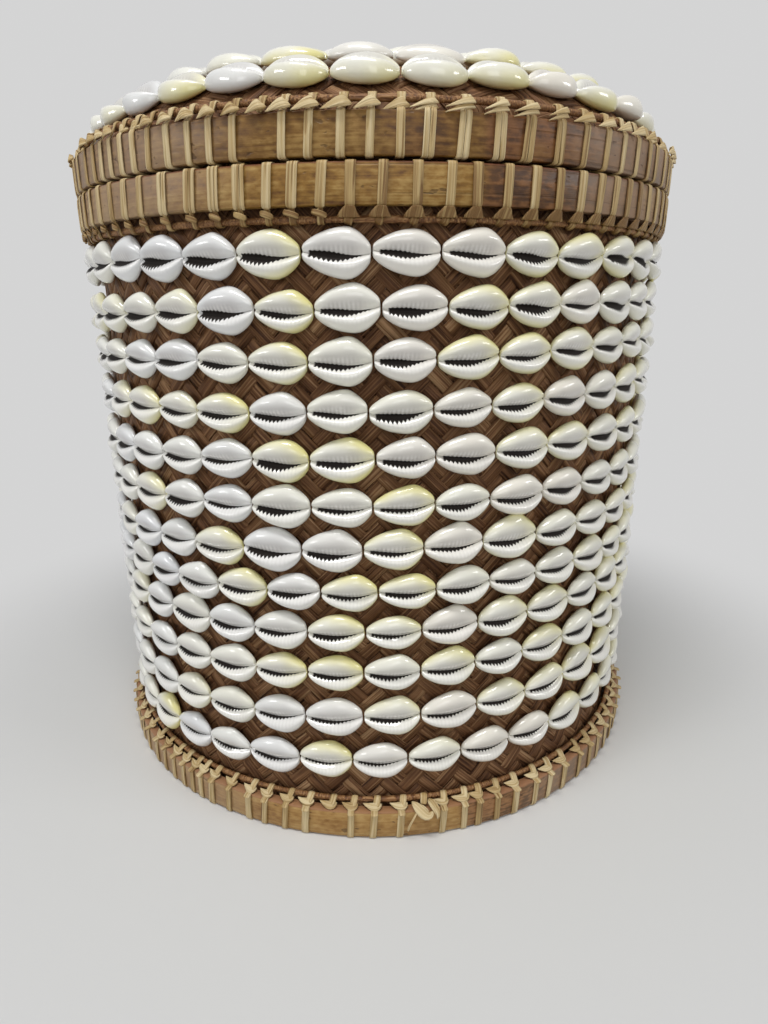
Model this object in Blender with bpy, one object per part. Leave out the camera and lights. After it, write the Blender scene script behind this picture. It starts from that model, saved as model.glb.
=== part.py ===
"""Round lidded basket: a plaited side and lid, bamboo hoops lashed on with split cane, rows of cowries.

Metres, +Z up. The origin is on the surface that the basket stands on, on its axis.
The basket is one body and the lid another, which lifts straight up.
"""

import math

import bmesh
import bpy
from mathutils import Vector

# Plaited side
SIDE_RADIUS = 0.126
SIDE_THICKNESS = 0.0018
SIDE_FLARE = 0.0016
SIDE_FOOT_HEIGHT = 0.0165
SIDE_FLARE_HEIGHT = 0.010

# Hoops: room is between the plait and a hoop's inner face, for the lashing to pass
HOOP_THICKNESS = 0.0045
HOOP_HEIGHT = 0.0121
HOOP_ROOM = 0.0015
RIM_HOOP_TOP = 0.248
FOOT_HOOP_THICKNESS = 0.0043
FOOT_HOOP_ROOM = 0.0033

# Thin canes beside the hoops
CANE_RADIUS = 0.0011
CANE_STANDOFF = 0.0036

# Split-cane lashings
STRAP_WIDTH = 0.0026
STRAP_THICKNESS = 0.0004
LID_STITCH_PITCH = 0.01035
RIM_STITCH_PITCH = 0.0106
FOOT_STITCH_PITCH = 0.0092

# Gaps between pieces that touch
FIT_GAP = 0.0003
LASHING_GAP = 0.0002
COLLAR_CLEARANCE = 0.0007

# Floor, foot and collar
FLOOR_THICKNESS = 0.0016
FOOT_INNER_THICKNESS = 0.0045
FOOT_INNER_HEIGHT = 0.005
COLLAR_THICKNESS = 0.002
COLLAR_DEPTH = 0.028
COLLAR_RISE = 0.011

# Plaited lid: a nearly flat crown with a sloping shoulder
LID_THICKNESS = 0.0015
LID_SKIRT_HEIGHT = 0.0156
LID_CROWN_RISE = 0.0215
CROWN_POWER = 7.0

# Cowries
SHELL_PITCH = 0.0214
SHELL_HEIGHT = 0.0066
FIRST_ROW_DROP = 0.0255
LAST_ROW_HEIGHT = 0.03385
ROW_GAP = 0.00165
LOW_ROW_COUNT = 2
LOW_STEP_SHARE = 1.165
LID_RING_INSET = 0.0095
LID_MIDDLE_RADIUS = 0.017
LID_RING_GAP = 0.001

# One value for each ring on the lid, from the edge in: the turn of its first joint
RING_TURN_SHARES = (0.40, 0.35, 0.10, 0.45, 0.20, 0.30, 0.0)

# One value for each row, top to bottom: its pitch and the turn of its first joint
ROW_PITCH_SHARES = (1.028, 1.0, 1.0, 0.975, 1.028, 1.056, 1.056, 1.0, 0.95, 0.95, 0.975, 0.975)
ROW_TURN_SHARES = (-0.07, 0.09, -0.02, -0.08, -0.02, -0.06, -0.25, -0.03, -0.22, -0.25, -0.26, -0.46)

# A shell's outline: across as a share of its width, out as a share of its height
TIP_SECTION_SHARES = ((-0.20, 0.08), (0.0, 0.62), (0.20, 0.08))
BODY_SECTION_SHARES = ((-0.50, 0.06), (-0.27, 1.0), (0.27, 1.0), (0.50, 0.06))
SHELL_SHOULDER_SHARE = 0.57

# Points of the crown's inner side, from the shoulder in to the middle, as shares of its radius
CROWN_LINING_SHARES = (0.95, 0.80, 0.45)

ROUND_STEPS = 36
CANE_SIDES = 4
WELD_DISTANCE = 0.000002
MM_IN_M = 1000
SHARP_ANGLE = math.radians(35)


def material(name, colour, roughness):
    made = bpy.data.materials.new(name)
    made.use_nodes = True
    shader = made.node_tree.nodes["Principled BSDF"]
    shader.inputs["Base Color"].default_value = (*colour, 1.0)
    shader.inputs["Roughness"].default_value = roughness
    shader.inputs["Metallic"].default_value = 0.0
    return made


def body(name, height):
    """An empty on the basket's axis that carries the pieces of one body."""
    empty = bpy.data.objects.new(name, None)
    empty.location = (0.0, 0.0, height)
    bpy.context.scene.collection.objects.link(empty)
    return empty


def finish(name, bm, carrier, look):
    """Makes the mesh into the named object, with its faces outwards and round faces smooth."""
    bmesh.ops.remove_doubles(bm, verts=bm.verts, dist=WELD_DISTANCE)
    bmesh.ops.recalc_face_normals(bm, faces=bm.faces)
    mesh = bpy.data.meshes.new(name)
    bm.to_mesh(mesh)
    bm.free()
    mesh.shade_smooth()
    mesh.set_sharp_from_angle(angle=SHARP_ANGLE)
    mesh.materials.append(look)
    piece = bpy.data.objects.new(name, mesh)
    piece.parent = carrier
    bpy.context.scene.collection.objects.link(piece)
    return piece


def turned(name, profile, carrier, look, closed=True):
    """Revolves a profile of (radius, height) points; an open one starts and ends on the axis."""
    bm = bmesh.new()
    points = [bm.verts.new((radius, 0.0, height)) for radius, height in profile]
    edges = [bm.edges.new(pair) for pair in zip(points, points[1:])]
    if closed:
        edges.append(bm.edges.new((points[-1], points[0])))
    bmesh.ops.spin(
        bm,
        geom=points + edges,
        cent=(0.0, 0.0, 0.0),
        axis=(0.0, 0.0, 1.0),
        angle=math.tau,
        steps=ROUND_STEPS,
        use_merge=True,
    )
    return finish(name, bm, carrier, look)


def band(name, outer_radius, thickness, low, high, carrier, look):
    """A flat hoop of rectangular section."""
    inner_radius = outer_radius - thickness
    profile = ((outer_radius, low), (outer_radius, high), (inner_radius, high), (inner_radius, low))
    return turned(name, profile, carrier, look)


def cane(name, ring_radius, height, carrier, look):
    """A thin round cane bent into a ring, whose flats touch the circle asked for."""
    corner_radius = ring_radius / math.cos(math.pi / ROUND_STEPS)
    profile = []
    for side in range(CANE_SIDES):
        angle = math.tau * side / CANE_SIDES
        across = CANE_RADIUS * math.cos(angle)
        up = CANE_RADIUS * math.sin(angle)
        profile.append((corner_radius + across, height + up))
    return turned(name, profile, carrier, look)


def around(radius, angle, height):
    """A point at an angle counted from the front, -Y, towards +X."""
    return Vector((radius * math.sin(angle), -radius * math.cos(angle), height))


def along(angle):
    return Vector((math.cos(angle), math.sin(angle), 0.0))


def crown_height(radius):
    """Height of the lid's crown above the top of its skirt."""
    share = min(radius / SIDE_RADIUS, 1.0)
    return LID_CROWN_RISE * (1.0 - share**CROWN_POWER)


def crown_band(radius, width):
    """The straight band of crown under a ring of shells: its height at the radius and its fall outwards."""
    outer_height = crown_height(radius + width / 2.0)
    inner_height = crown_height(radius - width / 2.0)
    return (outer_height + inner_height) / 2.0, math.atan2(inner_height - outer_height, width)


def join_faces(bm, corners):
    for loop in corners:
        bm.faces.new(loop)


def strung_cowries(name, radius, height, slope, width, pitch, turn_share, carrier, look):
    """A ring of cowries, tip to tip, on a surface at a radius and height that falls outwards by a slope.

    Each shell has a narrow section where it meets the next one and a full one at its shoulder.
    """
    lift = Vector((math.sin(slope), math.cos(slope))) if slope is not None else Vector((1.0, 0.0))
    rise = Vector((-lift.y, lift.x))
    seat_radius = radius + lift.x * FIT_GAP
    seat_height = height + lift.y * FIT_GAP
    middle_radius = radius + lift.x * SHELL_HEIGHT / 2.0
    count = max(3, round(math.tau * middle_radius / pitch))

    def section(angle, shares):
        ring = []
        for across_share, out_share in shares:
            across = across_share * width
            out = out_share * SHELL_HEIGHT
            out_radius = seat_radius + rise.x * across + lift.x * out
            ring.append(bm.verts.new(around(out_radius, angle, seat_height + rise.y * across + lift.y * out)))
        return ring

    bm = bmesh.new()
    tips = []
    shoulders = []
    for shell in range(count):
        start = math.tau * (shell + turn_share) / count
        shoulder = start + math.tau * SHELL_SHOULDER_SHARE / count
        tips.append(section(start, TIP_SECTION_SHARES))
        shoulders.append(section(shoulder, BODY_SECTION_SHARES))
    for shell in range(count):
        full = shoulders[shell]
        for tip in (tips[shell], tips[(shell + 1) % count]):
            join_faces(bm, (
                (tip[0], tip[2], full[3], full[0]),
                (tip[0], full[0], full[1], tip[1]),
                (tip[1], full[1], full[2]),
                (tip[1], full[2], full[3], tip[2]),
            ))
    print(f"{name}: {count} cowries")
    return finish(name, bm, carrier, look)


def lashing_loop(hoop_radius, far_edge, near_edge, cane_ring_radius, cane_height, face_radius):
    """Corners of one turn round a hoop and the cane beside it, as (radius, height).

    The far edge is the hoop's edge away from the cane. The turn goes over the far edge, along
    the hoop's outer face, over the near edge to the cane, and back between the hoop and the plait.
    """
    side = 1.0 if cane_height > far_edge else -1.0
    outer = hoop_radius + LASHING_GAP
    inner = face_radius + LASHING_GAP + STRAP_THICKNESS
    far = far_edge - side * LASHING_GAP
    near = near_edge + side * LASHING_GAP
    over_cane = cane_height + side * (CANE_RADIUS + LASHING_GAP)
    return (
        (outer, far),
        (outer, near),
        (cane_ring_radius + CANE_RADIUS, over_cane),
        (inner, over_cane),
        (inner, far),
    )


def mitres(loop):
    """For each corner of a closed loop, the way out that is one unit off both of its sides."""
    corners = [Vector(corner) for corner in loop]
    middle = sum(corners, Vector((0.0, 0.0))) / len(corners)
    found = []
    for index, corner in enumerate(corners):
        into = (corner - corners[index - 1]).normalized()
        away = (corners[(index + 1) % len(corners)] - corner).normalized()
        first = Vector((into.y, -into.x))
        second = Vector((away.y, -away.x))
        if first.dot(corner - middle) < 0.0:
            first.negate()
            second.negate()
        found.append((first + second) / (1.0 + first.dot(second)))
    return found


def lashing(name, loop, hoop_radius, pitch, carrier, look):
    """One unbroken split cane wound round a hoop: upright on the outer face, slanting behind it."""
    count = round(math.tau * hoop_radius / pitch)
    outwards = mitres(loop)
    last = len(loop) - 1
    bm = bmesh.new()
    stations = []
    for turn in range(count):
        for index, ((radius, height), out) in enumerate(zip(loop, outwards)):
            step = turn + 1 if index == last else turn
            angle = math.tau * step / count
            half = along(angle) * STRAP_WIDTH / 2.0
            base = around(radius, angle, height)
            ridge_radius = radius + out.x * STRAP_THICKNESS
            ridge = around(ridge_radius, angle, height + out.y * STRAP_THICKNESS)
            stations.append([bm.verts.new(base - half), bm.verts.new(ridge), bm.verts.new(base + half)])
    for first, second in zip(stations, stations[1:]):
        for side in range(3):
            after = (side + 1) % 3
            bm.faces.new((first[side], first[after], second[after], second[side]))
    bm.faces.new(stations[0])
    bm.faces.new(reversed(stations[-1]))
    least_radius = min(radius for radius, _ in loop)
    gap = 2.0 * least_radius * math.sin(math.pi / count) - STRAP_WIDTH
    print(f"{name}: {count} turns, least gap between turns {gap * MM_IN_M:.2f} mm")
    return finish(name, bm, carrier, look)


for leftover in list(bpy.data.objects):
    bpy.data.objects.remove(leftover, do_unlink=True)

plait = material("plaited_bamboo", (0.36, 0.20, 0.12), 0.6)
bamboo = material("bamboo_hoop", (0.42, 0.30, 0.16), 0.5)
foot_bamboo = material("foot_bamboo", (0.52, 0.36, 0.19), 0.5)
rattan = material("cane", (0.33, 0.21, 0.13), 0.5)
straw = material("lashing_cane", (0.66, 0.54, 0.34), 0.45)
cowrie = material("cowrie_shell", (0.80, 0.78, 0.68), 0.2)

# Outer faces of the side at its foot and of the hoops
foot_radius = SIDE_RADIUS + SIDE_FLARE
hoop_radius = SIDE_RADIUS + HOOP_ROOM + HOOP_THICKNESS
foot_hoop_radius = foot_radius + FOOT_HOOP_ROOM + FOOT_HOOP_THICKNESS

# The lid's hoop rests on the basket's hoop, with both lashings between them
strap_stack = LASHING_GAP + STRAP_THICKNESS
lid_seat = RIM_HOOP_TOP + strap_stack + LASHING_GAP
lid_hoop_low = strap_stack
lid_hoop_high = lid_hoop_low + HOOP_HEIGHT
rim_hoop_low = RIM_HOOP_TOP - HOOP_HEIGHT
foot_hoop_low = strap_stack
foot_hoop_high = foot_hoop_low + HOOP_HEIGHT
plait_to_cane = strap_stack + LASHING_GAP + CANE_RADIUS

basket = body("basket", 0.0)
lid = body("lid", lid_seat)

# Plaited side, drawn out a little to the foot hoop
side_low = FIT_GAP
flare_top = SIDE_FOOT_HEIGHT + SIDE_FLARE_HEIGHT
side_profile = (
    (foot_radius, side_low),
    (foot_radius, SIDE_FOOT_HEIGHT),
    (SIDE_RADIUS, flare_top),
    (SIDE_RADIUS, RIM_HOOP_TOP),
    (SIDE_RADIUS - SIDE_THICKNESS, RIM_HOOP_TOP),
    (SIDE_RADIUS - SIDE_THICKNESS, flare_top),
    (foot_radius - SIDE_THICKNESS, SIDE_FOOT_HEIGHT),
    (foot_radius - SIDE_THICKNESS, side_low),
)
turned("side_weave", side_profile, basket, plait)

# Foot: the inner hoop stands on the ground and carries the floor
foot_inside = foot_radius - SIDE_THICKNESS - FIT_GAP
band("foot_inner_hoop", foot_inside, FOOT_INNER_THICKNESS, 0.0, FOOT_INNER_HEIGHT, basket, foot_bamboo)
floor_low = FOOT_INNER_HEIGHT + FIT_GAP
floor_high = floor_low + FLOOR_THICKNESS
floor_profile = ((0.0, floor_high), (foot_inside, floor_high), (foot_inside, floor_low), (0.0, floor_low))
turned("base_weave", floor_profile, basket, plait, closed=False)
band("foot_hoop", foot_hoop_radius, FOOT_HOOP_THICKNESS, foot_hoop_low, foot_hoop_high, basket, foot_bamboo)
foot_cane_radius = foot_radius + plait_to_cane
foot_cane_height = foot_hoop_high + CANE_STANDOFF - CANE_RADIUS
cane("foot_cane", foot_cane_radius, foot_cane_height, basket, rattan)
foot_loop = lashing_loop(
    foot_hoop_radius, foot_hoop_low, foot_hoop_high, foot_cane_radius, foot_cane_height, foot_radius
)
lashing("foot_lashing", foot_loop, foot_hoop_radius, FOOT_STITCH_PITCH, basket, straw)

# Rim: hoop and cane outside the plait, collar inside it
band("rim_hoop", hoop_radius, HOOP_THICKNESS, rim_hoop_low, RIM_HOOP_TOP, basket, bamboo)
rim_cane_radius = SIDE_RADIUS + plait_to_cane
rim_cane_height = rim_hoop_low - CANE_STANDOFF
cane("rim_cane", rim_cane_radius, rim_cane_height, basket, rattan)
rim_loop = lashing_loop(
    hoop_radius, RIM_HOOP_TOP, rim_hoop_low, rim_cane_radius, rim_cane_height, SIDE_RADIUS
)
lashing("rim_lashing", rim_loop, hoop_radius, RIM_STITCH_PITCH, basket, straw)
collar_radius = SIDE_RADIUS - max(SIDE_THICKNESS + FIT_GAP, LID_THICKNESS + COLLAR_CLEARANCE)
collar_low = RIM_HOOP_TOP - COLLAR_DEPTH
collar_high = RIM_HOOP_TOP + COLLAR_RISE
band("rim_collar", collar_radius, COLLAR_THICKNESS, collar_low, collar_high, basket, bamboo)

# Rows of cowries round the side, numbered from the top
row_height = RIM_HOOP_TOP - FIRST_ROW_DROP
plain_steps = len(ROW_PITCH_SHARES) - 1 - LOW_ROW_COUNT
row_step = (row_height - LAST_ROW_HEIGHT) / (plain_steps + LOW_ROW_COUNT * LOW_STEP_SHARE)
row_width = row_step - ROW_GAP
for row, (pitch_share, turn_share) in enumerate(zip(ROW_PITCH_SHARES, ROW_TURN_SHARES), 1):
    row_name = f"cowrie_row_{row:02d}"
    pitch = SHELL_PITCH * pitch_share
    strung_cowries(row_name, SIDE_RADIUS, row_height, None, row_width, pitch, turn_share, basket, cowrie)
    low = row >= len(ROW_PITCH_SHARES) - LOW_ROW_COUNT
    row_height -= row_step * LOW_STEP_SHARE if low else row_step

# The rings of shells on the crown, whose outline is straight under each of them
first_ring_radius = SIDE_RADIUS - LID_RING_INSET
ring_step = (first_ring_radius - LID_MIDDLE_RADIUS) / (len(RING_TURN_SHARES) - 1)
ring_width = ring_step - LID_RING_GAP
ring_radii = [first_ring_radius - ring * ring_step for ring in range(len(RING_TURN_SHARES))]

# Plaited lid: its skirt goes down inside the lid hoop and over the collar
crown_radii = [first_ring_radius + ring_step / 2.0]
crown_radii += [radius - ring_step / 2.0 for radius in ring_radii]
crown_outline = [(radius, crown_height(radius)) for radius in crown_radii]
lining_radius = SIDE_RADIUS - LID_THICKNESS
lining = [(lining_radius * share, crown_height(SIDE_RADIUS * share)) for share in CROWN_LINING_SHARES]
lid_outside = [(SIDE_RADIUS, 0.0), (SIDE_RADIUS, LID_SKIRT_HEIGHT)]
lid_outside += [(radius, LID_SKIRT_HEIGHT + height) for radius, height in crown_outline]
lid_outside.append((0.0, LID_SKIRT_HEIGHT + LID_CROWN_RISE))
lid_inside = [(lining_radius, 0.0), (lining_radius, LID_SKIRT_HEIGHT - LID_THICKNESS)]
lid_inside += [(radius, LID_SKIRT_HEIGHT + height - LID_THICKNESS) for radius, height in lining]
lid_inside.append((0.0, LID_SKIRT_HEIGHT + LID_CROWN_RISE - LID_THICKNESS))
turned("lid_weave", lid_outside[::-1] + lid_inside, lid, plait, closed=False)
band("lid_hoop", hoop_radius, HOOP_THICKNESS, lid_hoop_low, lid_hoop_high, lid, bamboo)
lid_cane_radius = SIDE_RADIUS + plait_to_cane
lid_cane_height = lid_hoop_high + CANE_STANDOFF
cane("lid_cane", lid_cane_radius, lid_cane_height, lid, rattan)
lid_loop = lashing_loop(
    hoop_radius, lid_hoop_low, lid_hoop_high, lid_cane_radius, lid_cane_height, SIDE_RADIUS
)
lashing("lid_lashing", lid_loop, hoop_radius, LID_STITCH_PITCH, lid, straw)

# Rings of cowries on the crown, numbered from the edge
for ring, (ring_radius, turn_share) in enumerate(zip(ring_radii, RING_TURN_SHARES), 1):
    ring_name = f"lid_cowrie_ring_{ring}"
    rise, slope = crown_band(ring_radius, ring_step)
    height = LID_SKIRT_HEIGHT + rise
    strung_cowries(ring_name, ring_radius, height, slope, ring_width, SHELL_PITCH, turn_share, lid, cowrie)
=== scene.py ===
# %% [markdown]
# # A lidded basket covered with cowries
#
# The real thing is a round basket plaited from split bamboo. Flat bamboo hoops are lashed on with
# split cane at its foot, at its rim and round its lid, and cowries are strung in rows over the rest.
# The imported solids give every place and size. Here each plain solid gets its real form and finish:
# woven strips, bent hoops, straps with knots, and shells with a toothed slit.

# %% Load the solids
import bisect
import math
import random

import bmesh
import bpy
from mathutils import Matrix, Vector


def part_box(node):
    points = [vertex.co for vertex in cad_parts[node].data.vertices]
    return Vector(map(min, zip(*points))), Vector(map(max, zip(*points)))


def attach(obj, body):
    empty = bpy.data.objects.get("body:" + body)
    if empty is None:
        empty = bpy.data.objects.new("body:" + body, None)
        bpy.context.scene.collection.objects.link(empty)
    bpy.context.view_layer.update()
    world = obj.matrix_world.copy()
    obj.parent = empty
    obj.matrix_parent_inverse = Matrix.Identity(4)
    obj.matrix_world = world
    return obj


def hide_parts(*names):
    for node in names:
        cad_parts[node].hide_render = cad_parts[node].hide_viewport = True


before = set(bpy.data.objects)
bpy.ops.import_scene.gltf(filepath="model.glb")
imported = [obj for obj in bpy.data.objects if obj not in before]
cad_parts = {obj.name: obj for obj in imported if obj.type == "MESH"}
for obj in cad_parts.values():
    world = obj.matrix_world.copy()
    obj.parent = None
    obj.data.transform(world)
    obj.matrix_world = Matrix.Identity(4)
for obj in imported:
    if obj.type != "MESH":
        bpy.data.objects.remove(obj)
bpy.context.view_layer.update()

# %% [markdown]
# ## Camera
#
# The photograph was taken from close by and a little above the lid, so the hoops are wide curves and
# the foot looks narrower than the lid. The camera was fitted to the edges of the hoops. An angle from
# the front is turned about +Z, then the camera is tipped down.

# %% Set up the camera
PHOTO_HEIGHT = 1024
FOCAL_PIXELS = 661.6
CAMERA_PLACE = Vector((0.0, -0.3506, 0.2086))
CAMERA_TURN = math.radians(0.656)
CAMERA_TIP = math.radians(17.8)
CAMERA_ROLL = math.radians(-0.29)
QUARTER_TURN = math.radians(90)

camera_data = bpy.data.cameras.new("camera")
camera_data.lens = camera_data.sensor_width * FOCAL_PIXELS / PHOTO_HEIGHT
camera_data.clip_start = 0.01
camera = bpy.data.objects.new("camera", camera_data)
aim = Matrix.Rotation(-CAMERA_TURN, 4, "Z") @ Matrix.Rotation(QUARTER_TURN - CAMERA_TIP, 4, "X")
camera.matrix_world = Matrix.Translation(CAMERA_PLACE) @ aim @ Matrix.Rotation(CAMERA_ROLL, 4, "Z")
bpy.context.scene.collection.objects.link(camera)
bpy.context.scene.camera = camera
print("lens:", round(camera_data.lens, 2), "mm")

# %% [markdown]
# ## Light
#
# Soft boxes stand in for a plain studio: one above, one at each side and one in front. The first three
# are long and narrow, so that they show as streaks on the shells. Such a streak is how a glossy
# surface tells the eye that it is round.

# %% Hang the lamps
LAMPS = (
    # name, place, width, height, power in watts
    ("top_softbox", (-0.10, -0.40, 1.10), 0.60, 0.16, 6.0),
    ("left_softbox", (-0.95, -0.55, 0.55), 0.45, 0.16, 2.6),
    ("right_softbox", (0.95, -0.45, 0.60), 0.45, 0.16, 2.2),
    ("front_softbox", (0.10, -1.35, 0.55), 0.60, 0.60, 2.4),
)
BASKET_MIDDLE = Vector((0.0, 0.0, 0.14))

for lamp_name, lamp_place, lamp_width, lamp_height, lamp_power in LAMPS:
    lamp_data = bpy.data.lights.new(lamp_name, "AREA")
    lamp_data.shape = "RECTANGLE"
    lamp_data.size = lamp_width
    lamp_data.size_y = lamp_height
    lamp_data.energy = lamp_power
    lamp = bpy.data.objects.new(lamp_name, lamp_data)
    lamp.location = lamp_place
    lamp.rotation_euler = (BASKET_MIDDLE - Vector(lamp_place)).to_track_quat("-Z", "Y").to_euler()
    bpy.context.scene.collection.objects.link(lamp)
bpy.context.scene.view_settings.view_transform = "Standard"
print("lamps:", len(LAMPS))

# %% [markdown]
# ## Nodes as sums
#
# A finish is made of shader nodes. Written out one by one they are long, so one small class wraps a
# socket: adding or multiplying two of them adds a Math node, and its `node` method makes any other.

# %% Wrap a socket
class Value:
    """An output of a material's nodes, for use in sums. Without a socket it only starts a tree."""

    def __init__(self, tree, socket=None):
        self.tree = tree
        self.socket = socket

    def node(self, kind, settings=None, inputs=None, output=0):
        """Adds a node: its settings first, then the values or links of its sockets."""
        made = self.tree.nodes.new("ShaderNode" + kind)
        for name, value in (settings or {}).items():
            if name == "stops":
                while len(made.color_ramp.elements) < len(value):
                    made.color_ramp.elements.new(1.0)
                for stop, (position, colour) in zip(made.color_ramp.elements, value):
                    stop.position = position
                    stop.color = colour
            else:
                setattr(made, name, value)
        for name, value in (inputs or {}).items():
            if isinstance(value, Value):
                self.tree.links.new(value.socket, made.inputs[name])
            else:
                made.inputs[name].default_value = value
        return Value(self.tree, made.outputs[output])

    def maths(self, operation, first, second=0.0):
        return self.node("Math", {"operation": operation}, {0: first, 1: second})

    def __add__(self, other):
        return self.maths("ADD", self, other)

    def __radd__(self, other):
        return self.maths("ADD", other, self)

    def __sub__(self, other):
        return self.maths("SUBTRACT", self, other)

    def __rsub__(self, other):
        return self.maths("SUBTRACT", other, self)

    def __mul__(self, other):
        return self.maths("MULTIPLY", self, other)

    def __abs__(self):
        return self.maths("ABSOLUTE", self)


def spread(value, low, high, low_to=0.0, high_to=1.0):
    """Maps a range to another, smoothly and without going past its ends."""
    settings = {"interpolation_type": "SMOOTHSTEP"}
    return value.node("MapRange", settings, {0: value, 1: low, 2: high, 3: low_to, 4: high_to})


def mixed(factor, first, second):
    """Mixes two colours. The factor is the share of the second."""
    return factor.node("Mix", {"data_type": "RGBA"}, {0: factor, 6: first, 7: second}, 2)


def noise(start, place, scale, detail=2.0):
    return start.node("TexNoise", {}, {"Vector": place, "Scale": scale, "Detail": detail})


def finish_look(name, surface):
    """A material whose Principled shader gets the values that surface(start) works out."""
    look = bpy.data.materials.new(name)
    look.use_nodes = True
    shader = look.node_tree.nodes["Principled BSDF"]
    for socket_name, value in surface(Value(look.node_tree)).items():
        if isinstance(value, Value):
            look.node_tree.links.new(value.socket, shader.inputs[socket_name])
        else:
            shader.inputs[socket_name].default_value = value
    return look


def rgb(red, green, blue):
    return (red, green, blue, 1.0)


# %% [markdown]
# ## Split bamboo and cane
#
# A split strip shows its fibres as fine lines along it, and no two strips have quite the same brown.
# Each strip carries a UV map in metres, along and across, and an attribute called tone. Noise that is
# stretched along the strip gives the fibres, and the tone shifts the colour from strip to strip.

# %% Make the look of a split strip
UV_NAME = "grain"
TONE_NAME = "tone"
FIBRE_ALONG = 26.0
STREAK_ACROSS = 520.0
TONE_STEP = 37.0


def strip_look(name, stops, fibre_across, fibre_share, gloss):
    """Split bamboo or cane. The stops are the colours from the darkest fibres to the palest."""

    def surface(start):
        uv = start.node("UVMap", {"uv_map": UV_NAME})
        along = start.node("SeparateXYZ", {}, {0: uv}, 0) * FIBRE_ALONG
        across = start.node("SeparateXYZ", {}, {0: uv}, 1)
        tone = start.node("Attribute", {"attribute_name": TONE_NAME}, None, "Fac")
        shift = tone * TONE_STEP
        fine = start.node("CombineXYZ", {}, {0: along, 1: across * fibre_across, 2: shift})
        broad = start.node("CombineXYZ", {}, {0: along, 1: across * STREAK_ACROSS, 2: shift})
        fibre = spread(noise(start, fine, 1.0, 2.0), 0.34, 0.66)
        streak = spread(noise(start, broad, 1.0, 1.0), 0.32, 0.68)
        split = spread(noise(start, broad, 1.7, 0.0), 0.27, 0.33, 1.0, 0.0)
        shade = tone * (1.0 - fibre_share) + (fibre * 0.6 + streak * 0.4) * fibre_share - split * 0.25
        colour = start.node("ValToRGB", {"stops": stops}, {0: shade})
        height = fibre + streak - split * 2.0
        bump = start.node("Bump", {}, {"Strength": 0.5, "Distance": 0.0003, "Height": height})
        return {
            "Base Color": colour,
            "Roughness": 0.62 - gloss * 0.4 + fibre * 0.12,
            "Specular IOR Level": gloss,
            "Normal": bump,
        }

    return finish_look(name, surface)


PLAIT_STOPS = (
    (0.10, rgb(0.052, 0.020, 0.008)),
    (0.36, rgb(0.138, 0.061, 0.026)),
    (0.60, rgb(0.245, 0.122, 0.055)),
    (0.85, rgb(0.440, 0.270, 0.140)),
)
STRAW_STOPS = (
    (0.08, rgb(0.200, 0.105, 0.032)),
    (0.40, rgb(0.450, 0.310, 0.130)),
    (0.80, rgb(0.680, 0.550, 0.320)),
)
CANE_STOPS = (
    (0.10, rgb(0.080, 0.028, 0.010)),
    (0.50, rgb(0.250, 0.115, 0.040)),
    (0.85, rgb(0.450, 0.260, 0.115)),
)
plait_look = strip_look("plaited_strip", PLAIT_STOPS, 2300.0, 0.60, 0.22)
straw_look = strip_look("split_cane", STRAW_STOPS, 1500.0, 0.50, 0.35)
cane_look = strip_look("round_cane", CANE_STOPS, 1500.0, 0.65, 0.35)
print("strip looks:", plait_look.name, straw_look.name, cane_look.name)

# %% [markdown]
# ## Flat bamboo
#
# The hoops are split from a thick stem, planed flat and bent. Their grain runs round the basket.
# Object coordinates that are squeezed in height give that: noise then stays long round the hoop and
# fine up and down. Larger patches change the brown, small dark specks are dotted about, and the
# planed upper edge is a redder brown. More of the bamboo is red to the right, and at both sides a
# paler grey-brown is painted on as a sheen of reflected light.

# %% Make the look of a hoop
GRAIN_SCALE = (9.0, 9.0, 900.0)
PATCH_SCALE = (38.0, 38.0, 70.0)
SPECK_SCALE = (420.0, 420.0, 900.0)
SPECK_BROWN = rgb(0.045, 0.020, 0.008)
PATCH_GRAIN_BROWN = rgb(0.045, 0.016, 0.007)
PAINTED_SHEEN_BROWN = rgb(0.360, 0.255, 0.175)
EDGE_DEPTH = 0.0005
EDGE_BLUR = 0.0003
# Between these distances to the right the bamboo gets redder
RED_FROM = (0.029, 0.040)
# Between these distances to the left and to the right a paler grey-brown is painted on as sheen
SHEEN_LEFT = (0.035, 0.080)
SHEEN_RIGHT = (0.056, 0.078)


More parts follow.
